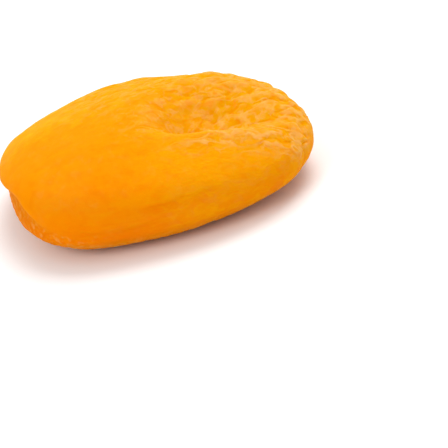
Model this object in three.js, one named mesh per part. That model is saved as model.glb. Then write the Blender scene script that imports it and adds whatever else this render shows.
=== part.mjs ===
// A dried apricot: one whole fruit, pitted, pressed flat and dried, lying on its underside.
// It is a single solid of leathery flesh. Millimetres, +Z up, origin on the surface that the
// fruit lies on, under the middle of its bounding box. +X points along the longer side, towards
// the wrinkled tip; -Y is the smooth front. Heights in the values are from the rim's middle.

import * as THREE from "three";
import { mergeVertices } from "three/addons/utils/BufferGeometryUtils.js";
import { ImprovedNoise } from "three/addons/math/ImprovedNoise.js";

const { smoothstep, degToRad, clamp } = THREE.MathUtils;

// Overall sizes of the pressed fruit.
const RADIUS = 18.75; // mean radius of the outline seen from above
const TOP_HALF = 6.4; // from the rim's middle to the top
const BASE_HALF = 5.3; // from the rim's middle to the underside
const TOP_RISE = 0.6; // how much more the top stands up at the tip
const TOP_TWIST = 3.4; // the top leans at the tip: its back edge is the higher one
const SQUARENESS = 2.55; // 2 is an elliptical section, more is a fuller rim

// How far the outline departs from a circle, in waves a turn: cosine and sine heights.
const OUTLINE = [
  { waves: 2, cosine: 0.65, sine: -1.05 },
  { waves: 3, cosine: 0.85, sine: -0.4 },
  { waves: 4, cosine: -0.28, sine: -0.16 },
];

// The hollow where the stone was: a pocket close to the front rim that runs out as a valley
// towards the tip. A reach is where the depth has fallen to about a third.
const HOLLOW = { depth: 3.3, x: 5.2, y: -3.9, slant: -0.1, left: 2.6, right: 10, front: 2.6, back: 7 };
const LIP = { height: 0.5, x: 9, away: 4.4, length: 9, width: 1.8 };
const BACK_DIP = { depth: 0.75, x: 3.5, y: 12.5, length: 10, width: 5 };

// The underside sinks in the middle too, less deeply, and is pressed flat where it lies.
const UNDER_HOLLOW = { depth: 2.2, x: 0.5, y: 0.5, length: 6.5, width: 5 };
const PRESSED_FLAT = 0.4;

// How far round and how steeply the two hollows start from the rim, as a share of upright.
const FACE_STARTS = [0.05, 0.6];
const RIM_STARTS = [0.5, 0.9];

// The fold round the smooth end, where the pressed top and underside meet as two round lobes.
// It arches up at the front and dives under there, and fades both ways, in radians from the end.
const RIM_FOLD = { depth: 1.7, width: 1.8, height: 0.3, arch: 1.7, archAt: 0.42, archReach: 0.35, dive: 1.2 };
const FOLD_FADES = { front: [0.3, 1.05], back: [0.35, 1.2] };
const GROOVE_SOFTNESS = 0.2; // as a share of the width

// The lower lobe stands back from the upper one at the very end of the smooth side.
const LOWER_LOBE = { setBack: 1.1, reach: 0.45, below: [-1.2, 1.5] };

// The stalk end, on the rim behind the smooth end: a short slit with a puckered edge.
const STALK = { turn: degToRad(134), depth: 1.4, length: 2.2, width: 1.3 };
const PUCKER = { height: 0.25, count: 9, reach: 3.2, clear: 1.6 };

// Two faint creases along the smooth front.
const FRONT_CREASES = [
  { x: 2.8, height: 1.3, length: 5, width: 0.6, depth: 0.22 },
  { x: -5, height: -0.65, length: 5.5, width: 0.6, depth: 0.18 },
];

// Broad lumps, and the creases of the shrunken skin with puffed cells between them.
const LUMP = { size: 9, height: 0.35 };
const CREASE = { along: 3.9, across: 2.5, depth: 0.4, sharpness: 0.36, bend: 1.1, bendSize: 6 };

// A small dimple in the tip, just below the end of the valley.
const DIMPLE = { place: new THREE.Vector3(17.3, -9.3, 1.8), depth: 0.45, reach: 1.3 };

// How wrinkled each region is, from 0 to 1, and the stretches over which it comes in.
const TIP = { x: [-2, 9], height: [-3.5, 1.5] };
const BACK_EDGE = { amount: 0.35, y: [5, 12] };
const UNDERSIDE = { amount: 0.6, drop: [2.5, 5], y: [-13, -8] };
const UNDER_FOLD = { amount: 0.5, left: [11, 15], drop: [1, 2.5] };
const SMOOTH_FRONT = { amount: 0.7, forward: [9, 12.5] };
const CALM_RIM = { amount: 0.85, upright: [0.05, 0.45] };

const SUBDIVISIONS = 23; // an icosahedron's edges are cut into one more than this
const FACE_SHARE = 0.13; // moves points from the rim to the broad faces
const GATHER = new THREE.Vector3(0.12, 0.02, 0.13); // moves points towards the tip and the top
const NORMAL_STEP = 0.01; // step in direction for measuring the form's normal
const NEAR_UPRIGHT = 0.7; // a direction this steep is measured against +X instead of +Z
const SAME_POINT = 1e-4; // corners of the ball closer than this are one
const LEAST_REACH = 1; // keeps the rim's tuck finite at the middle of the faces

const noise = new ImprovedNoise();
const hump = (t) => Math.exp(-t * t);
const comesIn = (t, [start, end]) => smoothstep(t, start, end);
// The groove between two round lobes: deepest where they meet, level with them 1 away.
const groove = (t) => 1 - Math.sqrt(1 - (1 - Math.min(Math.hypot(t, GROOVE_SOFTNESS), 1)) ** 2);

// An oval hump round a place in plan.
function oval(x, y, { x: x0, y: y0, length, width }) {
  return hump(Math.hypot((x - x0) / length, (y - y0) / width));
}

function outlineRadius(turn) {
  return OUTLINE.reduce(
    (r, w) => r + w.cosine * Math.cos(w.waves * turn) + w.sine * Math.sin(w.waves * turn),
    RADIUS,
  );
}

// How far the top surface sinks at a place in plan. It rises on the lip in front of the valley.
function topSink(x, y) {
  const behind = y - HOLLOW.y - HOLLOW.slant * (x - HOLLOW.x);
  const along = (x - HOLLOW.x) / (x < HOLLOW.x ? HOLLOW.left : HOLLOW.right);
  const pocket = hump(Math.hypot(along, behind / (behind < 0 ? HOLLOW.front : HOLLOW.back)));
  const lip = hump(Math.hypot((x - LIP.x) / LIP.length, (behind + LIP.away) / LIP.width));
  return HOLLOW.depth * pocket - LIP.height * lip + BACK_DIP.depth * oval(x, y, BACK_DIP);
}

// How far the rim is tucked in at a turn and height, in the fold and at the stalk end.
function rimTuck(turn, z) {
  const fromSmoothEnd = Math.PI - Math.abs(turn);
  const front = turn < 0;
  const strength = 1 - comesIn(fromSmoothEnd, front ? FOLD_FADES.front : FOLD_FADES.back);
  const forward = front ? fromSmoothEnd : -fromSmoothEnd;
  const arch = RIM_FOLD.arch * hump((forward - RIM_FOLD.archAt) / RIM_FOLD.archReach);
  const above = z - RIM_FOLD.height - arch + RIM_FOLD.dive * Math.max(forward, 0);
  const fold = strength * RIM_FOLD.depth * groove(above / RIM_FOLD.width);
  const setBack = LOWER_LOBE.setBack * hump(forward / LOWER_LOBE.reach) * comesIn(-above, LOWER_LOBE.below);
  const along = (turn - STALK.turn) * RADIUS;
  const slit = STALK.depth * hump(along / STALK.length) * hump(above / STALK.width);
  const away = Math.hypot(along, above);
  const rays = Math.cos(PUCKER.count * Math.atan2(above, along));
  const pucker = PUCKER.height * rays * hump(away / PUCKER.reach) * comesIn(away, [0, PUCKER.clear]);
  return fold + setBack + slit + pucker;
}

// How deep the faint creases are at a place on the smooth front.
function frontCrease(x, y, z) {
  if (y > 0) return 0;
  return FRONT_CREASES.reduce((depth, c) => {
    return depth + c.depth * hump((x - c.x) / c.length) * hump((z - c.height) / c.width);
  }, 0);
}

// The smooth pressed form: where the skin lies in a direction from the middle of the rim.
function pressedForm(direction) {
  const turn = Math.atan2(direction.y, direction.x);
  const side = Math.hypot(direction.x, direction.y);
  const up = direction.z;
  const fullness = (side ** SQUARENESS + Math.abs(up) ** SQUARENESS) ** (-1 / SQUARENESS);
  const reach = outlineRadius(turn) * side * fullness;
  const x = reach * Math.cos(turn);
  const y = reach * Math.sin(turn);
  const lean = (TOP_RISE + (TOP_TWIST * y) / RADIUS) * (x / RADIUS);
  const half = up > 0 ? TOP_HALF + lean : BASE_HALF;
  const sink = comesIn(up, FACE_STARTS) * topSink(x, y);
  const lift = comesIn(-up, FACE_STARTS) * UNDER_HOLLOW.depth * oval(x, y, UNDER_HOLLOW);
  const z = half * up * fullness - sink + lift;
  const tuck = comesIn(side, RIM_STARTS) * (rimTuck(turn, z) + frontCrease(x, y, z));
  const inward = 1 - tuck / Math.max(reach, LEAST_REACH);
  return new THREE.Vector3(x * inward, y * inward, z);
}

// How wrinkled the skin is: not at all on the smooth side, fully on the tip's two faces.
function wrinkled(p, direction) {
  const tip = comesIn(p.x, TIP.x) * comesIn(p.z, TIP.height);
  const backEdge = BACK_EDGE.amount * comesIn(p.y, BACK_EDGE.y);
  const underside = UNDERSIDE.amount * comesIn(-p.z, UNDERSIDE.drop) * comesIn(p.y, UNDERSIDE.y);
  const underFold = UNDER_FOLD.amount * comesIn(-p.x, UNDER_FOLD.left) * comesIn(-p.z, UNDER_FOLD.drop);
  const front = SMOOTH_FRONT.amount * comesIn(-p.y, SMOOTH_FRONT.forward);
  const rim = CALM_RIM.amount * (1 - comesIn(Math.abs(direction.z), CALM_RIM.upright));
  return (1 - rim) * Math.max(tip * (1 - front), backEdge, underside, underFold);
}

// The relief raised from the pressed form: broad lumps, the dimple, and creases between cells.
function relief(p, direction) {
  const lumps = LUMP.height * noise.noise(p.x / LUMP.size, p.y / LUMP.size, p.z / LUMP.size);
  const bend = CREASE.bend * noise.noise(p.x / CREASE.bendSize, p.y / CREASE.bendSize, p.z / CREASE.bendSize);
  const net = noise.noise(p.x / CREASE.along, (p.y + bend) / CREASE.across, (p.z + bend) / CREASE.across);
  const dimple = DIMPLE.depth * hump(p.distanceTo(DIMPLE.place) / DIMPLE.reach);
  return lumps - dimple - CREASE.depth * wrinkled(p, direction) * hump(net / CREASE.sharpness);
}

// The skin itself: the pressed form moved in or out along its own normal by the relief.
function skin(direction) {
  const p = pressedForm(direction);
  const helper = new THREE.Vector3(0, 0, 1);
  if (Math.abs(direction.z) > NEAR_UPRIGHT) helper.set(1, 0, 0);
  const across = helper.cross(direction).normalize();
  const along = direction.clone().cross(across);
  const towards = (step) => direction.clone().addScaledVector(step, NORMAL_STEP).normalize();
  const beside = (step) => pressedForm(towards(step)).sub(p);
  const normal = beside(across).cross(beside(along)).normalize();
  return p.addScaledVector(normal, relief(p, direction));
}

// An even ball of directions, moved so that the broad faces and the tip get more of them.
function directions() {
  const ball = new THREE.IcosahedronGeometry(1, SUBDIVISIONS);
  ball.deleteAttribute("normal");
  ball.deleteAttribute("uv");
  const merged = mergeVertices(ball, SAME_POINT);
  const place = merged.getAttribute("position");
  const direction = new THREE.Vector3();
  for (let i = 0; i < place.count; i++) {
    direction.fromBufferAttribute(place, i);
    const turn = Math.atan2(direction.y, direction.x);
    const polar = Math.acos(clamp(direction.z, -1, 1));
    const moved = polar - FACE_SHARE * Math.sin(2 * polar);
    direction.set(Math.sin(moved) * Math.cos(turn), Math.sin(moved) * Math.sin(turn), Math.cos(moved));
    direction.add(GATHER).normalize();
    place.setXYZ(i, direction.x, direction.y, direction.z);
  }
  return merged;
}

// The fruit, moved to stand centred on the origin and cut flat where it lies.
function driedApricot() {
  const geometry = directions();
  const place = geometry.getAttribute("position");
  const points = [];
  for (let i = 0; i < place.count; i++) {
    points.push(skin(new THREE.Vector3().fromBufferAttribute(place, i)));
  }

  const box = new THREE.Box3().setFromPoints(points);
  const middle = box.getCenter(new THREE.Vector3());
  const floor = box.min.z + PRESSED_FLAT;
  points.forEach((p, i) => {
    place.setXYZ(i, p.x - middle.x, p.y - middle.y, Math.max(p.z - floor, 0));
  });
  geometry.computeVertexNormals();

  const flesh = new THREE.MeshStandardMaterial({ color: 0xf59a0c, roughness: 0.45, metalness: 0 });
  const fruit = new THREE.Mesh(geometry, flesh);
  fruit.name = "dried_apricot";
  return fruit;
}

const part = new THREE.Group();
part.add(driedApricot());

export default part;
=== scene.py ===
from math import cos, radians, sin

import bmesh
import bpy
from mathutils import Matrix, Vector


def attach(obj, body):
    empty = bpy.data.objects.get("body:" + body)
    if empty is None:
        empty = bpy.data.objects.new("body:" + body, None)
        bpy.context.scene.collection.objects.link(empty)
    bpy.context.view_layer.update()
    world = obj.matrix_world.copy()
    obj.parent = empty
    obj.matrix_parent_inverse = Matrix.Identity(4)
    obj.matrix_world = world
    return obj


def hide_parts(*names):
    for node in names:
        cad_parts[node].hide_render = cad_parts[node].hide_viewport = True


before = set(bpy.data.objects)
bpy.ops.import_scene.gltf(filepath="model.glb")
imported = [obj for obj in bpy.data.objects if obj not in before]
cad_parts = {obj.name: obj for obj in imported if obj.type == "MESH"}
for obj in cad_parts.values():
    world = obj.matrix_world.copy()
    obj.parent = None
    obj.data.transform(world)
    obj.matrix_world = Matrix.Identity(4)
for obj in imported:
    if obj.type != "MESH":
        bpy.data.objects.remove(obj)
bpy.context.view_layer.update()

# Flesh
# The whole fruit is one piece of dried flesh under its own skin. It was pitted, pressed flat
# and dried, so the skin shrank into fine wrinkles round the hollow and at the tip.

METRES_TO_MILLIMETRES = 1000.0
SAME_POINT_METRES = 1e-7
SKIN_CUTS = 3  # how many times each edge of the node's mesh is cut
SKIN_RELAXING = 4  # how many rounds of smoothing take the flat facets out of it

# Sizes and places on the flesh are in millimetres. A stretch is how much longer a pattern is
# along each axis, and a fineness is how many of its cells fit in a millimetre.
PUFF = {"size": 2.4, "stretch": (1.3, 1.0, 1.0), "detail": 1.5, "span": (0.32, 0.68), "depth": 0.15}
THIN = {"size": 1.9, "stretch": (1.5, 1.0, 1.0), "width": 0.11, "colour_width": 0.1, "depth": 0.08}
CREASE = {"size": 3.4, "stretch": (1.5, 1.0, 1.0), "width": 0.05, "depth": 0.12}
SWERVE = {"size": 2.4, "detail": 2.0, "reach": 2.6}
NOISE_MIDDLE = 0.5


def take_node_mesh(node, cuts):
    """Copies a node's mesh, joins its loose triangles into one closed skin and cuts each edge up."""
    mesh = bpy.data.objects[node].data.copy()
    shell = bmesh.new()
    shell.from_mesh(mesh)
    bmesh.ops.remove_doubles(shell, verts=shell.verts, dist=SAME_POINT_METRES)
    bmesh.ops.subdivide_edges(shell, edges=shell.edges, cuts=cuts, use_grid_fill=True)
    shell.to_mesh(mesh)
    shell.free()
    mesh.materials.clear()
    return mesh


class Sums:
    """Adds nodes to a tree and links sockets or plain numbers to their inputs."""

    def __init__(self, tree):
        self.tree = tree

    def put(self, socket, value):
        if isinstance(value, bpy.types.NodeSocket):
            self.tree.links.new(value, socket)
        else:
            socket.default_value = value

    def add(self, kind, inputs=(), **settings):
        node = self.tree.nodes.new(kind)
        for name, value in settings.items():
            setattr(node, name, value)
        for name, value in dict(inputs).items():
            self.put(node.inputs[name], value)
        return node

    def worked_out(self, kind, operation, values):
        """A Math or Vector Math node with its values put in one after another."""
        node = self.add(kind, operation=operation)
        for socket, value in zip(node.inputs, values):
            self.put(socket, value)
        return node.outputs

    def math(self, operation, *values):
        return self.worked_out("ShaderNodeMath", operation, values)[0]

    def vector(self, operation, *values):
        return self.worked_out("ShaderNodeVectorMath", operation, values)["Vector"]

    def vector_value(self, operation, *values):
        return self.worked_out("ShaderNodeVectorMath", operation, values)["Value"]

    def scaled(self, vector, factor):
        node = self.add("ShaderNodeVectorMath", {0: vector, "Scale": factor}, operation="SCALE")
        return node.outputs[0]

    def parts(self, vector):
        return self.add("ShaderNodeSeparateXYZ", {"Vector": vector}).outputs

    def joined(self, x, y, z):
        return self.add("ShaderNodeCombineXYZ", {"X": x, "Y": y, "Z": z}).outputs[0]

    def absolute(self, value):
        return self.math("ABSOLUTE", value)

    def largest(self, first, *others):
        for other in others:
            first = self.math("MAXIMUM", first, other)
        return first

    def product(self, first, *others):
        for other in others:
            first = self.math("MULTIPLY", first, other)
        return first

    def total(self, first, *others):
        for other in others:
            first = self.math("ADD", first, other)
        return first

    def comes_in(self, value, span):
        """0 up to where the span starts, 1 past its end, smooth between. It may run downwards."""
        start, end = span
        node = self.add("ShaderNodeMapRange", interpolation_type="SMOOTHSTEP")
        range_and_results = (start, end, 0.0, 1.0) if start < end else (end, start, 1.0, 0.0)
        for socket, setting in zip(node.inputs, (value, *range_and_results)):
            self.put(socket, setting)
        return node.outputs[0]

    def noise(self, place, fineness, detail=1.0, output="Fac"):
        inputs = {"Vector": place, "Scale": fineness, "Detail": detail}
        return self.add("ShaderNodeTexNoise", inputs).outputs[output]

    def aside(self, place, fineness, detail):
        """A noise that points a different way at each place, about nothing on average."""
        return self.vector("SUBTRACT", self.noise(place, fineness, detail, "Color"), (NOISE_MIDDLE,) * 3)

    def swerving(self, place):
        """The place moved aside by a broad noise, so that a pattern on it wanders."""
        moved = self.aside(place, 1.0 / SWERVE["size"], SWERVE["detail"])
        return self.vector("ADD", place, self.scaled(moved, SWERVE["reach"]))

    def patches(self, place, stretch, fineness, detail, span):
        """Soft-edged patches: 1 in a patch and 0 off it."""
        return self.comes_in(self.noise(self.vector("DIVIDE", place, stretch), fineness, detail), span)

    def threads(self, place, size, stretch, width):
        """Thin lines that wander and join round cells of a size: 1 on a line and 0 off it."""
        cells = self.noise(self.vector("DIVIDE", place, stretch), 1.0 / size)
        return self.comes_in(self.absolute(self.math("SUBTRACT", cells, NOISE_MIDDLE)), (width, 0.0))


# The sizes of the wrinkling, as the tree's named inputs.
FRONT_CREASE_DEPTH = 0.12
FOLD_LINE_DEPTH = 0.16
RIM_GRAIN_DEPTH = 0.16

skin = bpy.data.node_groups.new("shrunken_skin", "GeometryNodeTree")
skin.interface.new_socket("Fruit", in_out="INPUT", socket_type="NodeSocketGeometry")
skin.interface.new_socket("Fruit", in_out="OUTPUT", socket_type="NodeSocketGeometry")
skin_sizes = {
    "Relaxing": ("NodeSocketInt", SKIN_RELAXING),
    "Puff size mm": ("NodeSocketFloat", PUFF["size"]),
    "Puff depth mm": ("NodeSocketFloat", PUFF["depth"]),
    "Thin wrinkle depth mm": ("NodeSocketFloat", THIN["depth"]),
    "Crease depth mm": ("NodeSocketFloat", CREASE["depth"]),
    "Front crease depth mm": ("NodeSocketFloat", FRONT_CREASE_DEPTH),
    "Fold line depth mm": ("NodeSocketFloat", FOLD_LINE_DEPTH),
    "Rim grain depth mm": ("NodeSocketFloat", RIM_GRAIN_DEPTH),
}
skin_inputs = {}
for name, (kind, value) in skin_sizes.items():
    skin_inputs[name] = skin.interface.new_socket(name, in_out="INPUT", socket_type=kind).identifier
skin_inputs["Material"] = skin.interface.new_socket(
    "Material", in_out="INPUT", socket_type="NodeSocketMaterial").identifier

sums = Sums(skin)
given = skin.nodes.new("NodeGroupInput").outputs
where = sums.add("GeometryNodeInputPosition").outputs[0]
facing = sums.add("GeometryNodeInputNormal").outputs[0]


def blurred_position(iterations):
    """Where each point would lie if the skin were smoothed."""
    blur = sums.add("GeometryNodeBlurAttribute", {"Iterations": iterations}, data_type="FLOAT_VECTOR")
    sums.put([s for s in blur.inputs if s.name == "Value" and s.type == "VECTOR"][0], where)
    return [s for s in blur.outputs if s.type == "VECTOR"][0]


def kept(geometry, name, value):
    """Stores a value on the points, for the material to read."""
    inputs = {"Geometry": geometry, "Name": name}
    store = sums.add("GeometryNodeStoreNamedAttribute", inputs, data_type="FLOAT", domain="POINT")
    sums.put([s for s in store.inputs if s.name == "Value" and s.type == "VALUE"][0], value)
    return store.outputs[0]


smooth = sums.add("GeometryNodeSetPosition", {
    "Geometry": given["Fruit"],
    "Position": blurred_position(given["Relaxing"]),
}).outputs[0]

# The places that the marks on the skin are counted from. The edges of the wrinkled areas
# wander, each axis by a share of its reach in millimetres.
WANDER = {"fineness": 0.2, "detail": 2.0, "reach": (12.0, 9.0, 4.0)}
LEVEL_WANDER = 1.2  # how far the height of a crease or fold wanders
place = sums.scaled(where, METRES_TO_MILLIMETRES)
spot = sums.parts(place)
turned = sums.parts(facing)
wander = sums.aside(place, WANDER["fineness"], WANDER["detail"])
roaming = sums.parts(sums.vector("ADD", place, sums.vector("MULTIPLY", wander, WANDER["reach"])))

# Where the skin has wrinkled: the tip and the hollow, the back edge and the underside. Each
# span is where the wrinkles start and where they are full. Turned is how far the skin faces up.
TIP = {"x": (-2.0, 10.0), "z": (2.5, 6.5)}
LOW_FRONT = {"y": (-10.5, -13.8), "smoothing": 0.9}
HOLLOW = {"amount": 0.8, "x": (-7.0, 4.0), "y": (-8.5, -5.0), "turned": (0.3, 0.7)}
BACK_EDGE = {"amount": 0.6, "x": (-15.0, -5.0), "y": (-3.0, 6.0)}
UNDERSIDE = {"amount": 0.7, "turned": (-0.3, -0.8)}
FAINT = {"amount": 0.12, "fineness": 0.16, "span": (0.4, 0.6)}
low_front = sums.product(LOW_FRONT["smoothing"], sums.comes_in(spot["Y"], LOW_FRONT["y"]))
on_tip = sums.product(
    sums.comes_in(roaming["X"], TIP["x"]),
    sums.comes_in(roaming["Z"], TIP["z"]),
    sums.math("SUBTRACT", 1.0, low_front),
)
in_hollow = sums.product(
    HOLLOW["amount"],
    sums.comes_in(roaming["X"], HOLLOW["x"]),
    sums.comes_in(turned["Z"], HOLLOW["turned"]),
    sums.comes_in(roaming["Y"], HOLLOW["y"]),
)
back_edge = sums.product(
    BACK_EDGE["amount"],
    sums.comes_in(roaming["Y"], BACK_EDGE["y"]),
    sums.comes_in(roaming["X"], BACK_EDGE["x"]),
)
underside = sums.comes_in(turned["Z"], UNDERSIDE["turned"])
under = sums.product(UNDERSIDE["amount"], underside)
faint = sums.product(FAINT["amount"], sums.comes_in(sums.noise(place, FAINT["fineness"]), FAINT["span"]))
wrinkled = sums.largest(on_tip, in_hollow, back_edge, under, faint)

# The thin wrinkles are clearest on the front of the lip and at the tip's end.
LIP = {"x": (3.0, 7.0), "y": (-7.0, -9.5)}
TIP_END = {"amount": 0.7, "x": (10.0, 16.0)}
THIN_ELSEWHERE = 0.4
by_lip = sums.product(sums.comes_in(roaming["X"], LIP["x"]), sums.comes_in(roaming["Y"], LIP["y"]))
at_end = sums.product(TIP_END["amount"], sums.comes_in(roaming["X"], TIP_END["x"]))
thin_here = sums.product(on_tip, sums.largest(THIN_ELSEWHERE, by_lip, at_end))

# Soft puffs, thin wrinkles, and longer creases that wander between them.
bent = sums.swerving(place)
puff_fineness = sums.math("DIVIDE", 1.0, given["Puff size mm"])
puff = sums.patches(bent, PUFF["stretch"], puff_fineness, PUFF["detail"], PUFF["span"])
puff_height = sums.product(wrinkled, sums.math("SUBTRACT", puff, NOISE_MIDDLE), given["Puff depth mm"])
thin = sums.threads(bent, THIN["size"], THIN["stretch"], THIN["width"])
thin_height = sums.product(thin_here, thin, given["Thin wrinkle depth mm"])
crease = sums.product(sums.threads(bent, CREASE["size"], CREASE["stretch"], CREASE["width"]), wrinkled)
crease_height = sums.product(-1.0, crease, given["Crease depth mm"])

# Fine lines run along the front below the lip, and fade towards the smooth end.
FRONT_Y = (-4.0, -9.0)
LINED = {"x": (-8.0, 9.0), "z": (1.5, 3.5)}
on_front = sums.comes_in(spot["Y"], FRONT_Y)
lined = sums.product(
    sums.comes_in(roaming["X"], LINED["x"]),
    on_front,
    sums.comes_in(spot["Z"], LINED["z"]),
)

# Two faint creases along the front, where the solid has them. Their heights are from the rim's
# middle, and a painted shade, deeper orange, lies for a little way below each, where the step under it
# would be in shadow.
RIM_MIDDLE = (-0.93, -0.60, 4.9)
FRONT_CREASES = [
    {"x": 2.8, "height": 1.3, "length": 5.0, "amount": 1.0},
    {"x": -5.0, "height": -0.65, "length": 5.5, "amount": 0.8},
]
CREASE_ENDS = (1.3, 0.5)  # as shares of the crease's length
CREASE_LINE = (0.45, 0.0)
STEP_STARTS = (-0.2, 0.3)
STEP_FADES = (2.6, 0.4)
front_step = 0.0
front_crease = 0.0
rim_spot = sums.parts(sums.vector("SUBTRACT", place, RIM_MIDDLE))
for spec in FRONT_CREASES:
    along = sums.math("DIVIDE", sums.math("SUBTRACT", rim_spot["X"], spec["x"]), spec["length"])
    level = sums.math("ADD", spec["height"], sums.product(LEVEL_WANDER, sums.parts(wander)["X"]))
    below = sums.math("SUBTRACT", level, rim_spot["Z"])
    by_crease = sums.product(spec["amount"], sums.comes_in(sums.absolute(along), CREASE_ENDS), on_front)
    step = sums.product(by_crease, sums.comes_in(below, STEP_STARTS), sums.comes_in(below, STEP_FADES))
    line = sums.product(by_crease, sums.comes_in(sums.absolute(below), CREASE_LINE))
    front_step = sums.largest(step, front_step)
    front_crease = sums.largest(line, front_crease)
front_height = sums.product(-1.0, front_crease, given["Front crease depth mm"])

# The fold round the smooth end. Its forward angle is counted from that end, towards the front,
# in radians. It arches up a little way forward of the end and dives under at the front.
FOLD = {"height": 0.3, "arch": 1.7, "arch_at": 0.42, "arch_reach": 0.35, "dive": 1.2}
FOLD_SPANS = {"front": (1.0, 0.4), "back": (-1.2, -0.4), "line": (0.7, 0.0)}
from_middle = sums.parts(sums.vector("SUBTRACT", RIM_MIDDLE, place))
forward = sums.math("ARCTAN2", from_middle["Y"], from_middle["X"])
from_arch = sums.math("DIVIDE", sums.math("SUBTRACT", forward, FOLD["arch_at"]), FOLD["arch_reach"])
arch = sums.math("EXPONENT", sums.product(-1.0, from_arch, from_arch))
dive = sums.product(FOLD["dive"], sums.math("MAXIMUM", forward, 0.0))
fold_level = sums.math("SUBTRACT", sums.total(FOLD["height"], sums.product(FOLD["arch"], arch)), dive)
above_fold = sums.math("SUBTRACT", sums.math("MULTIPLY", from_middle["Z"], -1.0), fold_level)
by_fold = sums.product(
    sums.comes_in(forward, FOLD_SPANS["front"]),
    sums.comes_in(forward, FOLD_SPANS["back"]),
)
shaken = sums.math("ADD", above_fold, sums.product(LEVEL_WANDER, sums.parts(wander)["Z"]))
fold_line = sums.product(by_fold, sums.comes_in(sums.absolute(shaken), FOLD_SPANS["line"]))
fold_height = sums.product(-1.0, fold_line, given["Fold line depth mm"])

# Below the fold the lower lobe's edge is a browner strip, rough and grainy.
STRIP = {"top": (0.3, -0.7), "bottom": (-3.6, -2.2)}
ROUGH_RIM = {"front": (1.35, 0.8), "back": (-1.2, -0.6), "top": (0.4, -0.6), "turned": (-0.9, -0.5)}
RIM_GRAIN = {"size": 0.65, "detail": 2.0, "swing": 2.0}
strip = sums.product(
    by_fold,
    sums.comes_in(shaken, STRIP["top"]),
    sums.comes_in(above_fold, STRIP["bottom"]),
)
rough_rim = sums.product(
    sums.comes_in(forward, ROUGH_RIM["front"]),
    sums.comes_in(forward, ROUGH_RIM["back"]),
    sums.comes_in(shaken, ROUGH_RIM["top"]),
    sums.comes_in(turned["Z"], ROUGH_RIM["turned"]),
)
grain_noise = sums.noise(place, 1.0 / RIM_GRAIN["size"], RIM_GRAIN["detail"])
grain_swing = sums.math("SUBTRACT", grain_noise, NOISE_MIDDLE)
grain_height = sums.product(RIM_GRAIN["swing"], grain_swing, rough_rim, given["Rim grain depth mm"])

# The skin is raised along its own normal, but not where it lies flat, and nothing goes below
# the surface that the fruit lies on.
OFF_THE_FLOOR = (0.02, 0.6)
height = sums.total(puff_height, thin_height, crease_height, front_height, fold_height, grain_height)
above_floor = sums.comes_in(spot["Z"], OFF_THE_FLOOR)
rise = sums.product(height, above_floor, 1.0 / METRES_TO_MILLIMETRES)
marks_made = {
    "underside": underside,
    "wrinkled": wrinkled,
    "thin_here": thin_here,
    "crease": crease,
    "lined": lined,
    "front_step": front_step,
    "strip": strip,
    "rough_rim": rough_rim,
    "fold_line": fold_line,
}
marked = smooth
for name, amount in marks_made.items():
    marked = kept(marked, name, amount)
raised = sums.add("GeometryNodeSetPosition", {"Geometry": marked, "Offset": sums.scaled(facing, rise)})
final_spot = sums.parts(where)
settled = sums.joined(final_spot["X"], final_spot["Y"], sums.math("MAXIMUM", final_spot["Z"], 0.0))
laid = sums.add("GeometryNodeSetPosition", {"Geometry": raised.outputs[0], "Position": settled})

# How far each point stands out of the skin round it, in millimetres, near by and farther off.
STANDING_OUT = {"ridge": 5, "swell": 49}
lying = laid.outputs[0]
for name, iterations in STANDING_OUT.items():
    away = sums.vector("SUBTRACT", where, blurred_position(iterations))
    out_of_skin = sums.vector_value("DOT_PRODUCT", away, facing)
    lying = kept(lying, name, sums.math("MULTIPLY", out_of_skin, METRES_TO_MILLIMETRES))

rounded = sums.add("GeometryNodeSetShadeSmooth", {"Geometry": lying})
real = sums.add("GeometryNodeRealizeInstances", {"Geometry": rounded.outputs[0]})
dressed = sums.add("GeometryNodeSetMaterial", {
    "Geometry": real.outputs[0],
    "Material": given["Material"],
})
skin_out = skin.nodes.new("NodeGroupOutput")
sums.put(skin_out.inputs["Fruit"], dressed.outputs[0])

# The flesh's finish: waxy, translucent orange. Painted shade makes it deeper low down and in dimples and
# creases, and a painted sheen makes it paler on the wrinkles' crests.
ORANGE = (0.78, 0.235, 0.0005, 1.0)
YELLOW_ORANGE = (0.76, 0.292, 0.0005, 1.0)
DEEP_ORANGE = (0.745, 0.175, 0.0005, 1.0)
BROWN_ORANGE = (0.56, 0.115, 0.003, 1.0)
PALE_YELLOW = (0.75, 0.345, 0.003, 1.0)
DULL_YELLOW = (0.66, 0.275, 0.0005, 1.0)
PAINTED_SHEEN = (0.72, 0.350, 0.085, 1.0)

# How much of each layer's own colour is laid over the ones under it.
LAID_ON = {
    "back_blotches": 0.6,
    "blotches": 0.35,
    "streaks": 0.3,
    "front_step": 0.55,
    "tip_dimple_shade": 0.45,
    "creases": 0.45,
    "shade_between_ridges": 0.35,
    "wrinkled": 0.7,
    "ridge_sheen": 0.28,
    "swell_sheen": 0.2,
    "mottle_sheen": 0.5,
    "mottle_shade": 0.35,
    "threads": 0.75,
    "lines": 0.8,
    "strip": 0.45,
    "speck_sheen": 0.4,
    "fold_line": 0.35,
}

flesh = bpy.data.materials.new("dried_apricot_flesh")
flesh.use_nodes = True
flesh.node_tree.nodes.clear()
tone = Sums(flesh.node_tree)
own_place = tone.scaled(tone.add("ShaderNodeTexCoord").outputs["Object"], METRES_TO_MILLIMETRES)
own_spot = tone.parts(own_place)
own_bent = tone.swerving(own_place)
marks = {}
for name in (*marks_made, *STANDING_OUT):
    marks[name] = tone.add("ShaderNodeAttribute", attribute_name=name).outputs["Fac"]


def mixed(amount, first, second):
    """The first colour, with an amount of the second laid over it."""
    node = tone.add("ShaderNodeMix", {"Factor": amount}, data_type="RGBA")
    colours = [s for s in node.inputs if s.type == "RGBA"]
    tone.put(colours[0], first)
    tone.put(colours[1], second)
    return [s for s in node.outputs if s.type == "RGBA"][0]
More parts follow.
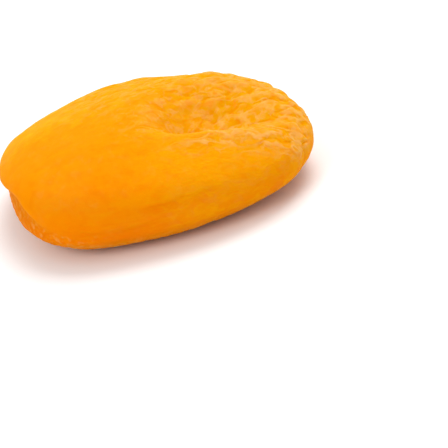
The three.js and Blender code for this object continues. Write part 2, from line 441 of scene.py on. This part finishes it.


# Yellower towards the tip and the back, which face the lamp above: partly the flesh's own tone
# and partly painted light. Deeper orange low down is painted shade.
CLOUDS = {"fineness": 0.14, "detail": 3.0, "reach": 6.0}
TONE_AND_LIGHT_SPANS = {"tip": (-8.0, 8.0), "back": (-2.0, 8.0), "height": (1.0, 8.0)}
clouds = tone.noise(own_place, CLOUDS["fineness"], CLOUDS["detail"])
cloudy = tone.math("MULTIPLY", tone.math("SUBTRACT", clouds, NOISE_MIDDLE), CLOUDS["reach"])
towards_tip = tone.comes_in(tone.math("ADD", own_spot["X"], cloudy), TONE_AND_LIGHT_SPANS["tip"])
towards_back = tone.comes_in(tone.math("ADD", own_spot["Y"], cloudy), TONE_AND_LIGHT_SPANS["back"])
painted_light_high_up = tone.comes_in(tone.math("ADD", own_spot["Z"], cloudy), TONE_AND_LIGHT_SPANS["height"])
toned_and_lit = mixed(tone.largest(towards_tip, towards_back), ORANGE, YELLOW_ORANGE)
skin_colour = mixed(painted_light_high_up, DEEP_ORANGE, toned_and_lit)

# Yellower blotches towards the back, faint deeper ones all over, and streaks along the front.
# Each layer is where its colour lies on the skin, and the colour.
UNSTRETCHED = (1.0, 1.0, 1.0)
BACK_BLOTCHES = {"stretch": (1.0, 2.0, 1.0), "fineness": 0.6, "detail": 3.0, "span": (0.46, 0.64)}
BLOTCHES = {"stretch": UNSTRETCHED, "fineness": 0.75, "detail": 3.0, "span": (0.48, 0.7)}
STREAKS = {"stretch": (5.0, 1.2, 0.7), "fineness": 1.0, "detail": 3.0, "span": (0.5, 0.72)}
BACK = {"y": (-6.0, 5.0), "z": (2.0, 6.0)}
STREAKED_Y = (-2.0, -8.0)
at_back = tone.product(tone.comes_in(own_spot["Y"], BACK["y"]), tone.comes_in(own_spot["Z"], BACK["z"]))
back_blotches = tone.patches(own_place, **BACK_BLOTCHES)
streaked = tone.comes_in(own_spot["Y"], STREAKED_Y)
layers = [
    (tone.product(LAID_ON["back_blotches"], at_back, back_blotches), PALE_YELLOW),
    (tone.product(LAID_ON["blotches"], tone.patches(own_place, **BLOTCHES)), DEEP_ORANGE),
    (tone.product(LAID_ON["streaks"], streaked, tone.patches(own_place, **STREAKS)), YELLOW_ORANGE),
    # Painted shade: deeper orange for a little way below each front crease.
    (tone.product(LAID_ON["front_step"], marks["front_step"]), DEEP_ORANGE),
]

# Painted shade: the dimple in the tip, the bottoms of the creases and the hollows between the
# ridges are deeper orange, where shade would fall.
TIP_DIMPLE = {"place": (16.4, -9.9, 6.7), "span": (4.2, 1.4)}
SHADE_BETWEEN_RIDGES = (-0.004, -0.04)
from_dimple = tone.vector_value("DISTANCE", own_place, TIP_DIMPLE["place"])
in_creases = tone.largest(
    tone.product(LAID_ON["creases"], marks["crease"]),
    tone.product(LAID_ON["shade_between_ridges"], tone.comes_in(marks["ridge"], SHADE_BETWEEN_RIDGES)),
)
layers += [
    (tone.product(LAID_ON["tip_dimple_shade"], tone.comes_in(from_dimple, TIP_DIMPLE["span"])), DEEP_ORANGE),
    (in_creases, DEEP_ORANGE),
]

# The wrinkled skin is duller. A painted sheen makes it pale on its crests, on its raised mottle
# and along its thin wrinkles, and painted shade makes the mottle's low cells deeper orange. It
# isn't so low down, apart from the underside.
BASE_Z = (1.5, 4.5)
UNDERSIDE_CRESTS = 0.6
SHEEN_ON_RIDGES = (0.0, 0.06)
SHEEN_ON_SWELLS = (0.0, 0.12)
MOTTLE = {"size": 1.0, "stretch": (1.0, 1.5, 1.0), "detail": 2.0}
MOTTLE_SPANS = {"pale": (0.51, 0.66), "deep": (0.46, 0.34)}
on_underside = tone.product(UNDERSIDE_CRESTS, marks["underside"])
off_the_base = tone.largest(tone.comes_in(own_spot["Z"], BASE_Z), on_underside)
crested = tone.product(off_the_base, marks["wrinkled"])
mottle_place = tone.vector("DIVIDE", own_bent, MOTTLE["stretch"])
mottle = tone.noise(mottle_place, 1.0 / MOTTLE["size"], MOTTLE["detail"])
mottle_sheen = tone.comes_in(mottle, MOTTLE_SPANS["pale"])
mottle_shade = tone.comes_in(mottle, MOTTLE_SPANS["deep"])
thread = tone.threads(own_bent, THIN["size"], THIN["stretch"], THIN["colour_width"])
layers += [
    (tone.product(LAID_ON["wrinkled"], crested), DULL_YELLOW),
    # Painted sheen on ridges, swells, raised mottle and thin wrinkles; painted shade in the mottle's low
    # cells.
    (tone.product(LAID_ON["ridge_sheen"], crested, tone.comes_in(marks["ridge"], SHEEN_ON_RIDGES)), PAINTED_SHEEN),
    (tone.product(LAID_ON["swell_sheen"], crested, tone.comes_in(marks["swell"], SHEEN_ON_SWELLS)), PAINTED_SHEEN),
    (tone.product(LAID_ON["mottle_sheen"], crested, mottle_sheen), PAINTED_SHEEN),
    (tone.product(LAID_ON["mottle_shade"], crested, mottle_shade), DEEP_ORANGE),
    (tone.product(LAID_ON["threads"], off_the_base, marks["thin_here"], thread), PAINTED_SHEEN),
]

# Fine lines along the front, and the brown, rough edge below the fold, with a painted sheen of pale
# specks on the tops of its grain and painted shade, browner, along the fold line.
LINES = {"stretch": (6.0, 0.9, 0.62), "fineness": 1.0, "detail": 2.0, "span": (0.42, 0.66)}
SPECKS = {"detail": 3.0, "span": (0.5, 0.7)}
lines = tone.patches(own_bent, **LINES)
rim_grain = tone.noise(own_place, 1.0 / RIM_GRAIN["size"], SPECKS["detail"])
speck_sheen = tone.comes_in(rim_grain, SPECKS["span"])
layers += [
    (tone.product(LAID_ON["lines"], marks["lined"], lines), YELLOW_ORANGE),
    (tone.product(LAID_ON["strip"], marks["strip"]), BROWN_ORANGE),
    # Painted sheen: pale specks on the raised grain of the rough rim.
    (tone.product(LAID_ON["speck_sheen"], marks["rough_rim"], speck_sheen), PAINTED_SHEEN),
    # Painted shade: browner along the groove of the fold line.
    (tone.product(LAID_ON["fold_line"], marks["fold_line"]), BROWN_ORANGE),
]
for amount, colour in layers:
    skin_colour = mixed(amount, skin_colour, colour)

# The relief that is too fine for the mesh, and the wax on the skin. The heights are shares of
# the bump's distance, in metres, and red light goes some 2.5 mm into the flesh.
GRAIN = {"Scale": 2.6, "Detail": 4.0, "Roughness": 0.6}
FINE_HEIGHTS = {"lines": 0.9, "threads": 0.5, "mottle": 2.0, "rim_grain": 2.5}
FINE_BUMP = {"Strength": 0.35, "Distance": 0.00012}
WAX = {"fineness": 0.8, "detail": 2.0, "roughness": 0.42, "change": 0.25}
WAXY_FLESH = {
    "Subsurface Weight": 0.45,
    "Subsurface Radius": (1.0, 0.36, 0.06),
    "Subsurface Scale": 0.0025,
    "Specular IOR Level": 0.002,
}
grain = tone.add("ShaderNodeTexNoise", {"Vector": own_place, **GRAIN}).outputs[0]
fine_height = tone.total(
    grain,
    tone.product(FINE_HEIGHTS["lines"], marks["lined"], lines),
    tone.product(FINE_HEIGHTS["threads"], marks["thin_here"], thread),
    tone.product(FINE_HEIGHTS["mottle"], marks["wrinkled"], mottle),
    tone.product(FINE_HEIGHTS["rim_grain"], marks["rough_rim"], rim_grain),
)
fine_bump = tone.add("ShaderNodeBump", {"Height": fine_height, **FINE_BUMP})
waxy = tone.math("SUBTRACT", tone.noise(own_place, WAX["fineness"], WAX["detail"]), NOISE_MIDDLE)
roughness = tone.math("ADD", WAX["roughness"], tone.math("MULTIPLY", waxy, WAX["change"]))
principled = tone.add("ShaderNodeBsdfPrincipled", {
    "Base Color": skin_colour,
    "Roughness": roughness,
    "Normal": fine_bump.outputs[0],
    **WAXY_FLESH,
})
tone.add("ShaderNodeOutputMaterial", {"Surface": principled.outputs[0]})

fruit = bpy.data.objects.new("apricot_flesh", take_node_mesh("dried_apricot", SKIN_CUTS))
bpy.context.scene.collection.objects.link(fruit)
wrinkling = fruit.modifiers.new("wrinkling", "NODES")
wrinkling.node_group = skin
for name, (kind, value) in skin_sizes.items():
    wrinkling[skin_inputs[name]] = value
wrinkling[skin_inputs["Material"]] = flesh
finished = bpy.data.meshes.new_from_object(fruit.evaluated_get(bpy.context.evaluated_depsgraph_get()))
fruit.modifiers.remove(wrinkling)
fruit.data = finished
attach(fruit, "root")
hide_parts("dried_apricot")

# Floor
# A wide, flat, matt white sheet that the fruit lies on. It is the setting and no part of the
# fruit. Sizes and places from here on are in metres.

FLOOR_HALF = 2.5
FLOOR_CORNERS = [(-1, -1), (1, -1), (1, 1), (-1, 1)]
WHITE_SHEET = {"Base Color": (0.9, 0.9, 0.9, 1.0), "Roughness": 0.9, "Specular IOR Level": 0.1}

floor_mesh = bpy.data.meshes.new("floor")
floor_points = [(x * FLOOR_HALF, y * FLOOR_HALF, 0) for x, y in FLOOR_CORNERS]
floor_mesh.from_pydata(floor_points, [], [(0, 1, 2, 3)])
floor = bpy.data.objects.new("floor", floor_mesh)
bpy.context.scene.collection.objects.link(floor)
white = bpy.data.materials.new("white_sheet")
white.use_nodes = True
for name, value in WHITE_SHEET.items():
    white.node_tree.nodes["Principled BSDF"].inputs[name].default_value = value
floor_mesh.materials.append(white)

# Light
# A bright white room, a large soft lamp above and behind on the right, and a weak one in front
# on the left. A lamp's power is in watts.

ROOM_LIGHT = {"Color": (1.0, 1.0, 1.0, 1.0), "Strength": 0.75}
LAMPS_AIM = Vector((0, 0, 0.005))
LAMPS = [
    {"name": "lamp_above", "place": Vector((0.25, 0.35, 0.7)), "size": 0.6, "power": 5.0},
    {"name": "lamp_front", "place": Vector((-0.45, -0.5, 0.5)), "size": 0.4, "power": 2.0},
]

room = bpy.data.worlds.new("white_room")
room.use_nodes = True
for name, value in ROOM_LIGHT.items():
    room.node_tree.nodes["Background"].inputs[name].default_value = value
bpy.context.scene.world = room
for spec in LAMPS:
    lamp = bpy.data.lights.new(spec["name"], "AREA")
    lamp.size = spec["size"]
    lamp.energy = spec["power"]
    holder = bpy.data.objects.new(spec["name"], lamp)
    holder.location = spec["place"]
    holder.rotation_euler = (LAMPS_AIM - spec["place"]).to_track_quat("-Z", "Y").to_euler()
    bpy.context.scene.collection.objects.link(holder)

# Camera
# It looks down on the smooth front from some way off, turned so that the tip points up right.
# The point looked at shows at its named pixel of the square frame.

CAMERA_DISTANCE = 0.38
CAMERA_HEIGHT_ANGLE = radians(26.3)
CAMERA_TURN = radians(13.5)
PIXELS = 448
PIXELS_A_METRE = 8260.0
LOOKED_AT = Vector((0, 0, 0.0054))
LOOKED_AT_PIXEL = (153.8, 146.9)
SENSOR_MM = 36.0
NEAREST_SEEN = 0.01

backward = Vector((0, -cos(CAMERA_HEIGHT_ANGLE), sin(CAMERA_HEIGHT_ANGLE)))
level_up = Vector((0, sin(CAMERA_HEIGHT_ANGLE), cos(CAMERA_HEIGHT_ANGLE)))
rightward = Vector((cos(CAMERA_TURN), 0, 0)) - level_up * sin(CAMERA_TURN)
upward = Vector((sin(CAMERA_TURN), 0, 0)) + level_up * cos(CAMERA_TURN)
aside = (LOOKED_AT_PIXEL[0] - PIXELS / 2) / PIXELS_A_METRE
above = (PIXELS / 2 - LOOKED_AT_PIXEL[1]) / PIXELS_A_METRE
stand = LOOKED_AT + backward * CAMERA_DISTANCE - rightward * aside - upward * above

camera_data = bpy.data.cameras.new("camera")
camera_data.sensor_width = SENSOR_MM
camera_data.lens = SENSOR_MM * PIXELS_A_METRE * CAMERA_DISTANCE / PIXELS
camera_data.clip_start = NEAREST_SEEN
camera = bpy.data.objects.new("camera", camera_data)
axes = Matrix((rightward, upward, backward)).transposed().to_4x4()
camera.matrix_world = Matrix.Translation(stand) @ axes
bpy.context.scene.collection.objects.link(camera)
bpy.context.scene.camera = camera
bpy.context.scene.view_settings.view_transform = "Standard"
